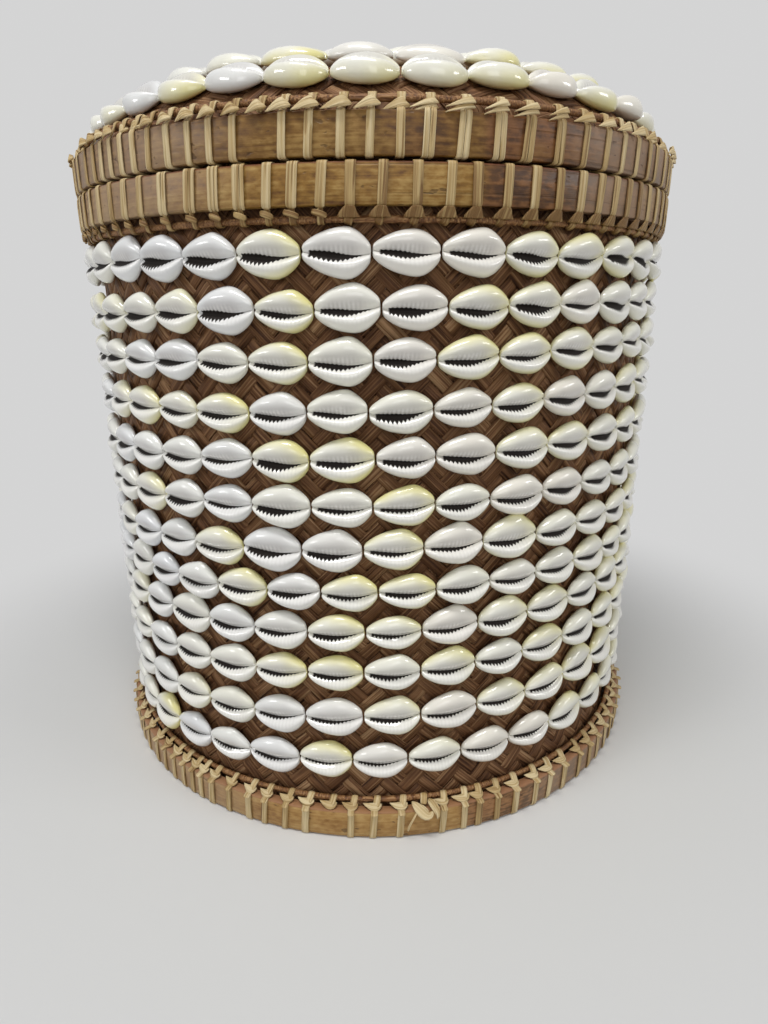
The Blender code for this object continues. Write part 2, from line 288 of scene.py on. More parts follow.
def hoop_look(name, stops, patch_colour, edge_top, edge_colour):
    """Flat bamboo. The stops run from the darkest grain to the palest. The planed edge ends at edge_top."""
    edge_low = edge_top - EDGE_DEPTH

    def surface(start):
        place = start.node("TexCoord", {}, None, "Object")
        grained = start.node("Mapping", {}, {"Vector": place, "Scale": GRAIN_SCALE})
        patched = start.node("Mapping", {}, {"Vector": place, "Scale": PATCH_SCALE})
        speckled = start.node("Mapping", {}, {"Vector": place, "Scale": SPECK_SCALE})
        grain = noise(start, grained, 1.0, 4.0)
        crack = spread(noise(start, grained, 0.7, 1.0), 0.27, 0.33, 1.0, 0.0)
        patch = noise(start, patched, 1.0, 3.0)
        bloom = noise(start, patched, 0.42, 2.0)
        mottle = noise(start, speckled, 0.7, 3.0)
        speck = spread(noise(start, speckled, 0.45, 2.0), 0.66, 0.72)
        shade = grain * 0.30 + patch * 0.35 + mottle * 0.35
        colour = start.node("ValToRGB", {"stops": stops}, {0: shade})
        sideways = start.node("SeparateXYZ", {}, {0: place}, 0)
        redder = spread(sideways, *RED_FROM)
        patched_brown = mixed(spread(shade, 0.42, 0.56), PATCH_GRAIN_BROWN, patch_colour)
        colour = mixed(spread(bloom + redder * 0.24, 0.56, 0.70) * 0.80, colour, patched_brown)
        # Painted sheen: towards both sides the brown is mixed with a paler grey-brown that stands in for
        # reflected light
        painted_sheen = spread(0.0 - sideways, *SHEEN_LEFT) + spread(sideways, *SHEEN_RIGHT)
        painted_sheen = painted_sheen * (0.30 + patch * 0.5)
        colour = mixed(painted_sheen, colour, PAINTED_SHEEN_BROWN)
        colour = mixed((speck + crack * 0.5) * 0.55, colour, SPECK_BROWN)
        height = start.node("SeparateXYZ", {}, {0: place}, 2)
        edge = spread(height, edge_low - EDGE_BLUR, edge_low + EDGE_BLUR)
        edge = edge * spread(height, edge_top, edge_top + EDGE_BLUR, 1.0, 0.0)
        colour = mixed(edge * (0.55 + grain * 0.6), colour, edge_colour)
        rough = grain + mottle * 0.8 - speck - crack
        bump = start.node("Bump", {}, {"Strength": 0.5, "Distance": 0.0003, "Height": rough})
        return {
            "Base Color": colour,
            "Roughness": 0.26 + patch * 0.30 + mottle * 0.1,
            "Specular IOR Level": 0.32,
            "Normal": bump,
        }

    return finish_look(name, surface)


LID_STOPS = (
    (0.37, rgb(0.075, 0.028, 0.006)),
    (0.49, rgb(0.185, 0.090, 0.017)),
    (0.61, rgb(0.330, 0.195, 0.057)),
)
RIM_STOPS = (
    (0.37, rgb(0.100, 0.038, 0.008)),
    (0.49, rgb(0.255, 0.132, 0.026)),
    (0.61, rgb(0.420, 0.265, 0.085)),
)
FOOT_STOPS = (
    (0.36, rgb(0.240, 0.110, 0.026)),
    (0.49, rgb(0.390, 0.220, 0.068)),
    (0.62, rgb(0.520, 0.340, 0.130)),
)
RIM_PATCH = rgb(0.170, 0.062, 0.022)
RIM_EDGE = rgb(0.150, 0.045, 0.018)
FOOT_PATCH = rgb(0.300, 0.140, 0.060)
FOOT_EDGE = rgb(0.330, 0.165, 0.085)
rim_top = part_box("rim_hoop")[1].z
foot_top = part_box("foot_hoop")[1].z
# Folds hide the upper edge of the lid's hoop. It is given the rim's, which lies below it and so isn't seen
lid_bamboo = hoop_look("lid_bamboo", LID_STOPS, RIM_PATCH, rim_top, RIM_EDGE)
rim_bamboo = hoop_look("rim_bamboo", RIM_STOPS, RIM_PATCH, rim_top, RIM_EDGE)
foot_bamboo = hoop_look("foot_bamboo", FOOT_STOPS, FOOT_PATCH, foot_top, FOOT_EDGE)
print("hoop looks:", lid_bamboo.name, rim_bamboo.name, foot_bamboo.name)

# %% [markdown]
# ## Cowrie shell
#
# A cowrie's mouth is a slit with teeth along it, dark with the shade inside it. The slit's valley
# is modelled, and the teeth and the slit's dark, a painted shade, are drawn in the shell's own UV map,
# where U runs from tip to tip and V runs round the shell. Each shell carries a warmth, from bluish
# white to yellow, and an opening, which is how wide its slit is.

# %% Make the look of a cowrie
SHELL_SIDES = 8
SLIT_SIDE = 4
TEETH = 15.5
WARMTH_NAME = "warmth"
OPENING_NAME = "opening"
LEFT_LIGHT_TINT_WHITE = rgb(0.78, 0.79, 0.80)
RIGHT_LIGHT_TINT_WHITE = rgb(0.83, 0.79, 0.70)
WARM_WHITE = rgb(0.84, 0.83, 0.74)
YELLOW = rgb(0.80, 0.74, 0.32)
LIP_SHADE_GREY = rgb(0.42, 0.39, 0.38)
RIDGE_WHITE = rgb(0.84, 0.82, 0.78)
LIP_LIGHT_WHITE = rgb(0.87, 0.85, 0.82)
GROOVE_SHADE_BROWN = rgb(0.45, 0.42, 0.38)
FURROW_SHADE_BROWN = rgb(0.20, 0.16, 0.12)
MOUTH_SHADE_BLACK = rgb(0.012, 0.008, 0.006)


def cowrie_surface(start):
    uv = start.node("UVMap", {"uv_map": UV_NAME})
    along = start.node("SeparateXYZ", {}, {0: uv}, 0)
    beside = start.node("SeparateXYZ", {}, {0: uv}, 1) * SHELL_SIDES - SLIT_SIDE
    warmth = start.node("Attribute", {"attribute_name": WARMTH_NAME}, None, "Fac")
    opening = start.node("Attribute", {"attribute_name": OPENING_NAME}, None, "Fac")

    # The mouth, painted black as the shade inside the slit: wide near the first tip, and narrower to
    # nothing near the other
    gape = spread(along, 0.36, 0.84, 1.0, 0.14) * opening
    tooth = 1.0 - abs(start.maths("FRACT", along * TEETH + warmth * 7.0) - 0.5) * 2.0
    toothed = spread(along, 0.10, 0.15) * spread(along, 0.78, 0.88, 1.0, 0.0)
    lower_edge = gape * 1.15 + 0.14 - tooth * (gape * 0.40 + 0.18) * toothed
    upper_edge = gape * 0.82 + 0.04 - tooth * 0.13 * spread(along, 0.50, 0.70, 1.0, 0.0)
    mouth = spread(beside + lower_edge, -0.05, 0.05) * spread(upper_edge - beside, -0.05, 0.05)
    mouth = mouth * spread(along, 0.085, 0.115) * spread(along, 0.80, 0.87, 1.0, 0.0)
    # Painted shade: a dark brown line along the bottom of the valley, which the bump also sinks
    furrow_and_shade = spread(abs(beside), 0.05, 0.20, 1.0, 0.0) * 0.55

    # Above the mouth the upper lip gets a painted grey shade where it turns down into the slit, and small
    # pale ridges cross that grey
    grey = spread(beside, 0.1, 0.6) * spread(beside, 0.9, 2.3, 1.0, 0.0)
    grey = grey * spread(along, 0.10, 0.30) * spread(along, 0.66, 0.92, 1.0, 0.1)
    ridge = tooth * spread(beside, 0.30, 0.55) * spread(beside, 0.95, 1.45, 1.0, 0.0)
    ridge = ridge * toothed * spread(along, 0.50, 0.75, 1.0, 0.15)
    # Painted light: the lower lip beside the mouth is whitened, which lifts it out of the valley's shade
    lip = spread(beside, -2.0, -1.3) * spread(beside, -0.5, -0.2, 1.0, 0.0)
    # Painted shade: the grooves between the teeth are darkened, besides being sunk in the bump
    groove_and_shade = (1.0 - tooth) * lip * toothed

    place = start.node("TexCoord", {}, None, "Object")
    cloud = noise(start, place, 95.0, 2.0)
    margin = spread(abs(beside), 1.3, 3.2)
    far_end = spread(along, 0.30, 1.0)
    stain = (margin * 0.75 + far_end * 0.5 + cloud * 0.7 - 0.35) * spread(warmth, 0.25, 1.0)
    # Painted light: the white is bluer on the left and creamier on the right, a tint of cool and warm light
    right = spread(start.node("SeparateXYZ", {}, {0: place}, 0), -0.08, 0.05)
    light_tint_white = mixed(right, LEFT_LIGHT_TINT_WHITE, RIGHT_LIGHT_TINT_WHITE)
    white = mixed(spread(warmth, 0.0, 0.45), light_tint_white, WARM_WHITE)
    shell = mixed(spread(stain, 0.0, 0.90), white, YELLOW)
    shell = mixed(grey * 0.55, shell, LIP_SHADE_GREY)
    shell = mixed(ridge * 0.75, shell, RIDGE_WHITE)
    shell = mixed(lip * 0.5, shell, LIP_LIGHT_WHITE)
    shell = mixed(groove_and_shade * 0.14, shell, GROOVE_SHADE_BROWN)
    shell = mixed(furrow_and_shade, shell, FURROW_SHADE_BROWN)
    colour = mixed(mouth, shell, MOUTH_SHADE_BLACK)
    depth = start.maths("MAXIMUM", mouth, furrow_and_shade)
    relief = ridge * 0.6 - groove_and_shade * 0.35 - depth
    bump = start.node("Bump", {}, {"Strength": 0.7, "Distance": 0.0003, "Height": relief})
    return {
        "Base Color": colour,
        "Roughness": 0.34 + mouth * 0.4 + cloud * 0.06,
        "Specular IOR Level": 0.3,
        "Coat Weight": 1.0 - mouth,
        "Coat Roughness": 0.03,
        "Normal": bump,
    }


cowrie_look = finish_look("cowrie", cowrie_surface)
print("cowrie look:", len(cowrie_look.node_tree.nodes), "nodes")

# %% [markdown]
# ## Helpers for places
#
# Everything is round, so places are given as a radius, an angle from the front and a height. A piece
# then rides on the basket or on the lid, takes its material, and stands for its solid.

# %% Turn angles into points, and meshes into pieces
def around(radius, angle, height):
    """A point at an angle counted from the front, -Y, towards +X."""
    return Vector((radius * math.sin(angle), -radius * math.cos(angle), height))


def outward(angle):
    return around(1.0, angle, 0.0)


def angle_of(point):
    return math.atan2(point.x, -point.y)


def show(name, bm, look, body, nodes):
    """Makes the mesh a smooth piece that rides on a body and stands for CAD nodes."""
    mesh = bpy.data.meshes.new(name)
    bm.to_mesh(mesh)
    bm.free()
    mesh.shade_smooth()
    mesh.materials.append(look)
    piece = bpy.data.objects.new(name, mesh)
    bpy.context.scene.collection.objects.link(piece)
    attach(piece, body)
    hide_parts(*nodes)
    return piece


def subdivide(piece, levels):
    modifier = piece.modifiers.new("smooth", "SUBSURF")
    modifier.levels = levels
    modifier.render_levels = levels


def thicken(piece, thickness, offset):
    modifier = piece.modifiers.new("thickness", "SOLIDIFY")
    modifier.thickness = thickness
    modifier.offset = offset


def new_mesh(*vertex_values):
    """An empty mesh with the UV map and with a value of its own at each vertex for each name."""
    bm = bmesh.new()
    bm.loops.layers.uv.new(UV_NAME)
    for name in vertex_values:
        bm.verts.layers.float.new(name)
    return bm


# %% [markdown]
# ## Plait
#
# The plait is a twill: each strip goes over two and under two, one step along from its neighbour.
# The strips run at 45 degrees, so the long floats meet in upright zigzags. A straight row of faces
# makes one strip, with an edge where each float starts and ends. It is laid along a line of a square
# lattice, and the lattice is wrapped round the side, over the lid or across the floor.

# %% Lay strips on a lattice
STRIP_THICKNESS = 0.0005
STRIP_LIFT = 0.00034
STRIP_SHARE = 0.955
TWILL = 4
# A strip goes from over to under within twice this share of a crossing
RAMP = 0.17
STRIP_WIDTHS = (0.93, 1.0)
MEAN_TONE = 0.5
TONE_SPREAD = 0.13

plait_dice = random.Random(11)


def goes_over(line, crossing, across_way):
    if across_way:
        return (crossing - line) % TWILL >= TWILL // 2
    return (line - crossing) % TWILL < TWILL // 2


def float_ends(line, first, last, across_way, middles):
    """Where a strip's points are, in crossings, and whether it lies on top there."""
    points = []
    for crossing in range(first, last + 1):
        over = goes_over(line, crossing, across_way)
        starts = crossing == first or goes_over(line, crossing - 1, across_way) != over
        ends = crossing == last or goes_over(line, crossing + 1, across_way) != over
        if starts or middles:
            points.append((crossing - 0.5 + RAMP, over))
        if ends or middles:
            points.append((crossing + 0.5 - RAMP, over))
    return points


def lay_strip(bm, line, first, last, pitch, across_way, lie, middles=False):
    """One strip on a lattice line, from its first crossing to its last.

    lie(along, across, lift, across_way) gives the point on the basket.
    """
    uv_layer = bm.loops.layers.uv[UV_NAME]
    tone_layer = bm.verts.layers.float[TONE_NAME]
    points = float_ends(line, first, last, across_way, middles)
    steps = len(points) - 1
    made = bmesh.ops.create_grid(bm, x_segments=steps, y_segments=1, size=0.5)
    tone = plait_dice.gauss(MEAN_TONE, TONE_SPREAD)
    width = pitch * STRIP_SHARE * plait_dice.uniform(*STRIP_WIDTHS)
    uv_shift = plait_dice.random()
    places = {}
    for vert in made["verts"]:
        crossing, over = points[round((vert.co.x + 0.5) * steps)]
        offset = vert.co.y * width
        places[vert] = (crossing * pitch, offset + uv_shift)
        vert[tone_layer] = tone
        lift = STRIP_LIFT if over else -STRIP_LIFT
        vert.co = lie(crossing * pitch, line * pitch + offset, lift, across_way)
    for vert in made["verts"]:
        for loop in vert.link_loops:
            loop[uv_layer].uv = places[vert]


def face_out(bm, middle):
    """Turns faces over that look towards a point inside the basket."""
    bm.normal_update()
    turned = [face for face in bm.faces if face.normal.dot(face.calc_center_median() - middle) < 0.0]
    bmesh.ops.reverse_faces(bm, faces=turned)


# %% [markdown]
# The side is the lattice closed to a tube. Strips of both ways start at the foot and run up to the rim,
# and the tube widens a little at its foot, where the foot hoop spreads it.

# %% Plait the side
SIDE_RADIUS = 0.126
SIDE_THICKNESS = 0.0018
SIDE_STRIPS = 104
FLARE = 0.0016
FLARE_FOOT = 0.0165
FLARE_HEIGHT = 0.010
ROOT_TWO = math.sqrt(2.0)

side_low, side_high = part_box("side_weave")
side_middle = SIDE_RADIUS - SIDE_THICKNESS / 2.0
side_pitch = math.tau * side_middle / SIDE_STRIPS / ROOT_TWO


def flare_at(height):
    """How much wider the side is at a height than above its foot."""
    return FLARE * (1.0 - min(max((height - FLARE_FOOT) / FLARE_HEIGHT, 0.0), 1.0))


def lie_on_side(along, across, lift, across_way):
    right, left = (across, along) if across_way else (along, across)
    angle = (right - left) / ROOT_TWO / side_middle
    height = min(max(side_low.z + (right + left) / ROOT_TWO, side_low.z), side_high.z)
    return around(side_middle + flare_at(height) + lift, angle, height)


def plait_side():
    bm = new_mesh(TONE_NAME)
    rows = math.ceil((side_high.z - side_low.z) * ROOT_TWO / side_pitch)
    for line in range(SIDE_STRIPS):
        lay_strip(bm, line, -line, rows - line, side_pitch, False, lie_on_side)
        lay_strip(bm, line, -line, rows - line, side_pitch, True, lie_on_side)
    bmesh.ops.dissolve_degenerate(bm, dist=0.00001, edges=bm.edges)
    face_out(bm, (side_low + side_high) / 2.0)
    return bm


side = show("side_plait", plait_side(), plait_look, "basket", ["side_weave"])
thicken(side, STRIP_THICKNESS, 0.0)
print("side plait:", len(side.data.polygons), "faces,", 2 * SIDE_STRIPS, "strips")

# %% [markdown]
# ## Lid and floor
#
# The lid is the same cloth of strips, bent over a low crown and down inside the lid's hoop. Lattice
# points keep their distance from the middle, measured along the crown's outline.

# %% Plait the lid and the floor
LID_THICKNESS = 0.0015
LID_SKIRT_HEIGHT = 0.0156
LID_CROWN_RISE = 0.0215
CROWN_POWER = 7.0
OUTLINE_STEPS = 240
FLAT_STRIPS = 52
TURNED_LATTICE = math.radians(45)

skirt_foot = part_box("lid_weave")[0].z
skirt_top = skirt_foot + LID_SKIRT_HEIGHT


def crown_height(radius):
    """Height of the lid's crown above the top of its skirt."""
    return LID_CROWN_RISE * (1.0 - min(radius / SIDE_RADIUS, 1.0) ** CROWN_POWER)


def lid_outline():
    """Points (distance along the outline, radius, height) from the crown's middle to the skirt's foot."""
    points = []
    for step in range(OUTLINE_STEPS + 1):
        radius = SIDE_RADIUS * math.sin(math.pi / 2.0 * step / OUTLINE_STEPS)
        points.append((radius, skirt_top + crown_height(radius)))
    points.append((SIDE_RADIUS, skirt_foot))
    outline = [(0.0, *points[0])]
    for (radius, height), (next_radius, next_height) in zip(points, points[1:]):
        length = outline[-1][0] + math.hypot(next_radius - radius, next_height - height)
        outline.append((length, next_radius, next_height))
    return outline


LID_OUTLINE = lid_outline()
LID_REACHES = [point[0] for point in LID_OUTLINE]


def lie_on_lid(along, across, lift, across_way):
    right, left = (across, along) if across_way else (along, across)
    reach = min(math.hypot(right, left), LID_REACHES[-1])
    angle = math.atan2(left, right) + TURNED_LATTICE
    index = min(max(bisect.bisect(LID_REACHES, reach), 1), len(LID_OUTLINE) - 1)
    start, end = LID_OUTLINE[index - 1], LID_OUTLINE[index]
    share = (reach - start[0]) / (end[0] - start[0])
    slope = math.atan2(start[2] - end[2], end[1] - start[1])
    radius = start[1] + (end[1] - start[1]) * share
    height = start[2] + (end[2] - start[2]) * share
    inset = lift - LID_THICKNESS / 2.0
    return around(radius + inset * math.sin(slope), angle, height + inset * math.cos(slope))


floor_low, floor_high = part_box("base_weave")


def lie_on_floor(along, across, lift, across_way):
    right, left = (across, along) if across_way else (along, across)
    angle = math.atan2(left, right) + TURNED_LATTICE
    return around(math.hypot(right, left), angle, (floor_low.z + floor_high.z) / 2.0 + lift)


def plait_disc(reach, lie, middles):
    """Strips that cover a round sheet of cloth of some reach from its middle."""
    bm = new_mesh(TONE_NAME)
    pitch = 2.0 * reach / FLAT_STRIPS
    for line in range(-FLAT_STRIPS // 2 + 1, FLAT_STRIPS // 2):
        last = math.floor(math.sqrt(reach**2 - (line * pitch) ** 2) / pitch)
        lay_strip(bm, line, -last, last, pitch, False, lie, middles)
        lay_strip(bm, line, -last, last, pitch, True, lie, middles)
    face_out(bm, Vector((0.0, 0.0, 0.0)))
    return bm


lid_strips = plait_disc(LID_REACHES[-1], lie_on_lid, True)
lid_cloth = show("lid_plait", lid_strips, plait_look, "lid", ["lid_weave"])
thicken(lid_cloth, STRIP_THICKNESS, 0.0)
floor_strips = plait_disc(floor_high.x, lie_on_floor, False)
floor_cloth = show("floor_plait", floor_strips, plait_look, "basket", ["base_weave"])
thicken(floor_cloth, STRIP_THICKNESS, 0.0)
print("lid plait:", len(lid_cloth.data.polygons), "faces; floor plait:", len(floor_cloth.data.polygons))

# %% [markdown]
# ## Hoops
#
# A hoop is a flat strip bent into a ring. Its section is four points, spun round the basket, and its
# corner edges are then bevelled, because a planed strip is never quite sharp. It is hand-bent, so it
# also waves in and out a little.

# %% Bend the hoops
RING_STEPS = 144
CORNER = 0.0007
CORNER_SEGMENTS = 2
HOOP_THICKNESS = 0.0045
FOOT_HOOP_THICKNESS = 0.0043
COLLAR_THICKNESS = 0.002
WAVE = 0.00016
WAVE_COUNTS = (5, 11, 17)
SHARP_ANGLE = math.radians(40)

hoop_dice = random.Random(7)


def spun(section):
    """Revolves a closed section of (radius, height) points."""
    bm = new_mesh(TONE_NAME)
    points = [bm.verts.new((radius, 0.0, height)) for radius, height in section]
    edges = [bm.edges.new(pair) for pair in zip(points, points[1:] + points[:1])]
    bmesh.ops.spin(
        bm,
        geom=points + edges,
        cent=(0.0, 0.0, 0.0),
        axis=(0.0, 0.0, 1.0),
        angle=math.tau,
        steps=RING_STEPS,
        use_merge=True,
    )
    bmesh.ops.remove_doubles(bm, verts=bm.verts, dist=0.000001)
    bmesh.ops.recalc_face_normals(bm, faces=bm.faces)
    return bm


def runs_round(edge):
    first, second = (vert.co for vert in edge.verts)
    return abs(first.z - second.z) < CORNER and abs(first.xy.length - second.xy.length) < CORNER


def hoop(name, node, thickness, look, body, slot):
    low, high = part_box(node)
    outer = high.x - WAVE
    bm = spun(((outer, low.z), (outer, high.z), (outer - thickness, high.z), (outer - thickness, low.z)))
    bmesh.ops.bevel(
        bm,
        geom=[edge for edge in bm.edges if runs_round(edge)],
        offset=min(CORNER, thickness / 3.0),
        affect="EDGES",
        segments=CORNER_SEGMENTS,
        profile=0.5,
        material=-1,
    )
    turns = [hoop_dice.uniform(0.0, math.tau) for _ in WAVE_COUNTS]
    for vert in bm.verts:
        angle = angle_of(vert.co)
        wave = sum(math.sin(count * angle + turn) for count, turn in zip(WAVE_COUNTS, turns))
        vert.co += outward(angle) * wave * WAVE / len(WAVE_COUNTS)
    piece = show(name, bm, look, body, [node])
    piece.data.set_sharp_from_angle(angle=SHARP_ANGLE)


HOOPS = (
    ("lid_bamboo_hoop", "lid_hoop", HOOP_THICKNESS, lid_bamboo, "lid", "hoop"),
    ("rim_bamboo_hoop", "rim_hoop", HOOP_THICKNESS, rim_bamboo, "basket", "hoop"),
    ("foot_bamboo_hoop", "foot_hoop", FOOT_HOOP_THICKNESS, foot_bamboo, "basket", "foot_hoop"),
    ("foot_ground_hoop", "foot_inner_hoop", HOOP_THICKNESS, foot_bamboo, "basket", "foot_hoop"),
    ("rim_inner_collar", "rim_collar", COLLAR_THICKNESS, rim_bamboo, "basket", "hoop"),
)
for hoop_values in HOOPS:
    hoop(*hoop_values)
print("hoops:", len(HOOPS))

# %% [markdown]
# ## Canes
#
# A thin round cane lies beside each hoop. It is a small circle spun round the basket, thicker and
# thinner along its length as a rattan stem is.

# %% Bend the canes
CANE_RADIUS = 0.0011
CANE_SIDES = 8
CANE_WAVES = 23
CANE_SWELL = 0.12
CANE_TINT = 0.25


def round_ring(ring_radius, height, radius, sides, swell):
    """A round stem bent into a ring, with its UV map along and across it."""
    section = []
    for side_number in range(sides):
        angle = math.tau * side_number / sides
        section.append((ring_radius + radius * math.cos(angle), height + radius * math.sin(angle)))
    bm = spun(section)
    uv_layer = bm.loops.layers.uv[UV_NAME]
    tone_layer = bm.verts.layers.float[TONE_NAME]
    for vert in bm.verts:
        angle = angle_of(vert.co)
        middle = around(ring_radius, angle, height)
        vert.co = middle + (vert.co - middle) * (1.0 + swell * math.sin(CANE_WAVES * angle))
        vert[tone_layer] = 0.5 + CANE_TINT * math.sin(CANE_WAVES * 3.0 * angle)
    for face in bm.faces:
        face_angle = angle_of(face.calc_center_median())
        for loop in face.loops:
            turn = (angle_of(loop.vert.co) - face_angle + math.pi) % math.tau - math.pi
            loop[uv_layer].uv = ((face_angle + turn) * ring_radius, loop.vert.co.z)
    return bm


def cane(name, node, body):
    low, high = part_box(node)
    bm = round_ring(high.x - CANE_RADIUS, (low.z + high.z) / 2.0, CANE_RADIUS, CANE_SIDES, CANE_SWELL)
    show(name, bm, cane_look, body, [node])


CANES = (("lid", "lid"), ("rim", "basket"), ("foot", "basket"))
for cane_place, cane_body in CANES:
    cane(f"{cane_place}_round_cane", f"{cane_place}_cane", cane_body)
print("canes:", len(CANES))

# %% [markdown]
# ## Lashings
#
# One split cane sews each hoop to the plait. Outside it shows as upright straps over the hoop, a fold
# beside the hoop's edge, and a short band over the thin cane. Each of these is a ribbon: a grid of
# faces led along a few points. A point is given in the hoop's section, with a step aside.

# %% Lead a ribbon along points
STRAP_THICKNESS = 0.0004
STRAP_CROWN = 0.00014
# Tones below 0, down to this, are the painted shade of the folds under the rim
DARKEST_TONE = -0.4

lash_dice = random.Random(5)


def ribbon(bm, centres, facings, widths, tone):
    """A flat strap along the centres. A facing is the way that its outer side looks at that point."""
    uv_layer = bm.loops.layers.uv[UV_NAME]
    tone_layer = bm.verts.layers.float[TONE_NAME]
    steps = len(centres) - 1
    made = bmesh.ops.create_grid(bm, x_segments=steps, y_segments=2, size=0.5)
    lengths = [0.0]
    for first, second in zip(centres, centres[1:]):
        lengths.append(lengths[-1] + (second - first).length)
    uv_shift = lash_dice.random()
    places = {}
    for vert in made["verts"]:
        step = round((vert.co.x + 0.5) * steps)
        across = vert.co.y
        way = (centres[min(step + 1, steps)] - centres[max(step - 1, 0)]).normalized()
        beside = way.cross(facings[step]).normalized()
        crown = STRAP_CROWN * (1.0 - (2.0 * across) ** 2)
        places[vert] = (lengths[step], across * widths[step] + uv_shift)
        vert[tone_layer] = min(max(tone, DARKEST_TONE), 1.0)
        vert.co = centres[step] - beside * across * widths[step] + beside.cross(way) * crown
    for vert in made["verts"]:
        for loop in vert.link_loops:
            loop[uv_layer].uv = places[vert]


class Binding:
    """A hoop and the cane beside it, seen in section. The hoop's near edge is the one beside the cane."""

    def __init__(self, hoop_node, cane_node, plait_radius):
        low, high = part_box(hoop_node)
        cane_low, cane_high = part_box(cane_node)
        self.cane_height = (cane_low.z + cane_high.z) / 2.0
        self.cane_radius = cane_high.x - CANE_RADIUS
        self.up = 1.0 if self.cane_height > high.z else -1.0
        self.near = high.z if self.up > 0.0 else low.z
        self.far = low.z if self.up > 0.0 else high.z
        self.face = high.x
        self.plait = plait_radius
        self.middle = (low.z + high.z) / 2.0
        self.gap = self.cane_height - self.near

    def lead(self, bm, angle, points, width, tone, rise=None):
        """A ribbon through points (radius, height, step aside, share of the width).

        It looks away from the hoop's middle, or outward and up at the slope rise.
        """
        centres = []
        facings = []
        for radius, height, aside, _ in points:
            turn = angle + aside / self.face
            centres.append(around(radius, turn, height))
            if rise is None:
                facings.append(centres[-1] - around((self.face + self.plait) / 2.0, turn, self.middle))
            else:
                facings.append(around(1.0, turn, rise))
        ribbon(bm, centres, facings, [width * share for *_, share in points], tone)

    def strap(self):
        """Over the hoop's far edge, along its face and to its near edge."""
        up = self.up
        behind = self.plait + 0.0008
        return (
            (behind, self.far + up * 0.0020, 0.0, 1.0),
            (behind, self.far - up * 0.0001, 0.0, 1.0),
            (behind + 0.0008, self.far - up * 0.0005, 0.0, 1.0),
            (self.face - 0.0008, self.far - up * 0.0005, 0.0, 1.0),
            (self.face + 0.0003, self.far - up * 0.0001, 0.0, 1.0),
            (self.face + 0.0005, self.far + up * 0.0014, 0.0, 1.0),
            (self.face + 0.0005, self.near - up * 0.0016, 0.0, 1.0),
            (self.face + 0.0004, self.near - up * 0.0002, 0.0, 0.97),
            (self.face - 0.0005, self.near + up * 0.0006, 0.0, 0.94),
        )

    def neck(self, lean):
        """From the hoop's near edge to the cane, over it and into the plait."""
        up = self.up
        top = self.cane_height + up * (CANE_RADIUS + STRAP_THICKNESS)
        return (
            (self.face - 0.0003, self.near + up * 0.0003, 0.0, 0.92),
            ((self.face + self.cane_radius) / 2.0 + 0.0006, self.near + self.gap * 0.45, lean * 0.4, 0.90),
            (self.cane_radius + 0.0017, self.cane_height - up * 0.0004, lean * 0.8, 0.98),
            (self.cane_radius + 0.0013, top - up * 0.0002, lean, 1.02),
            (self.cane_radius - 0.0002, top + up * 0.0003, lean, 1.02),
            (self.plait + 0.0001, top - up * 0.0010, lean, 1.0),
        )

    def fold(self, shape, size, inset=0.0):
        """Points (step aside, out from the cane, share of the gap, share of the width) put in place."""
        return [
            (self.cane_radius + out - inset, self.near + self.gap * gap_share, aside * size, share)
            for aside, out, gap_share, share in shape
        ]


# %% [markdown]
# The folds differ from hoop to hoop. On the lid a leaf rises from the hoop's edge and wraps the strap. It
# is short at the far left, and in two strands where the strap is broad. At the foot a strip crosses the
# hoop's upper edge, a band holds the cane, and a small leaf lies over both. Under the rim, to the right,
# the strap spreads into a flap with a slanting band below it. To the left it is a neck with a flat knot.
# One end at the foot has frayed.

# %% Shape the folds
# Each point: step aside, out from the cane, share of the gap from hoop to cane, share of the width
LEAF = (
    (-0.0060, 0.0038, 0.02, 0.08),
    (-0.0045, 0.0042, 0.14, 0.38),
    (-0.0024, 0.0047, 0.34, 0.74),
    (-0.0006, 0.0051, 0.46, 1.04),
    (0.0008, 0.0050, 0.53, 1.14),
    (0.0016, 0.0046, 0.57, 1.14),
    (0.0021, 0.0039, 0.59, 1.08),
    (0.0024, 0.0031, 0.61, 1.00),
)
FOOT_LEDGE = (
    (0.0000, 0.0069, -0.10, 1.00),
    (0.0000, 0.0063, 0.14, 1.00),
    (-0.0001, 0.0046, 0.20, 1.02),
    (-0.0002, 0.0032, 0.36, 1.05),
    (-0.0002, 0.0020, 0.60, 1.05),
)
FOOT_LEAF = (
    (-0.0046, 0.0018, 0.78, 0.06),
    (-0.0031, 0.0026, 0.71, 0.48),
    (-0.0011, 0.0034, 0.64, 0.92),
    (0.0005, 0.0036, 0.61, 1.06),
    (0.0017, 0.0031, 0.66, 0.78),
    (0.0026, 0.0021, 0.76, 0.24),
)
FOOT_BAND = (
    (0.0004, 0.0034, 0.60, 0.96),
    (0.0006, 0.0027, 0.88, 1.00),
    (0.0009, 0.0019, 1.22, 1.02),
    (0.0011, 0.0006, 1.58, 1.02),
    (0.0012, -0.0007, 1.50, 1.00),
)
RIM_FLAP = (
    (0.0000, 0.0040, 0.06, 1.00),
    (0.0000, 0.0039, 0.16, 1.08),
    (-0.0002, 0.0036, 0.38, 1.44),
    (-0.0004, 0.0032, 0.66, 1.88),
    (-0.0005, 0.0028, 0.86, 2.18),
    (-0.0005, 0.0026, 0.90, 2.20),
    (-0.0005, 0.0010, 0.90, 2.14),
)
UNDER_BAND = (
    (-0.0004, 0.0012, 0.72, 0.80),
    (-0.0005, 0.0018, 0.92, 0.84),
    (-0.0007, 0.0018, 1.14, 0.84),
    (-0.0010, 0.0009, 1.38, 0.80),
    (-0.0011, -0.0006, 1.44, 0.76),
)
RIM_BOW = (
    (-0.0030, 0.0024, 0.40, 0.85),
    (-0.0020, 0.0034, 0.48, 1.05),
    (-0.0003, 0.0040, 0.60, 1.15),
    (0.0012, 0.0037, 0.74, 1.05),
    (0.0020, 0.0029, 0.84, 0.90),
)
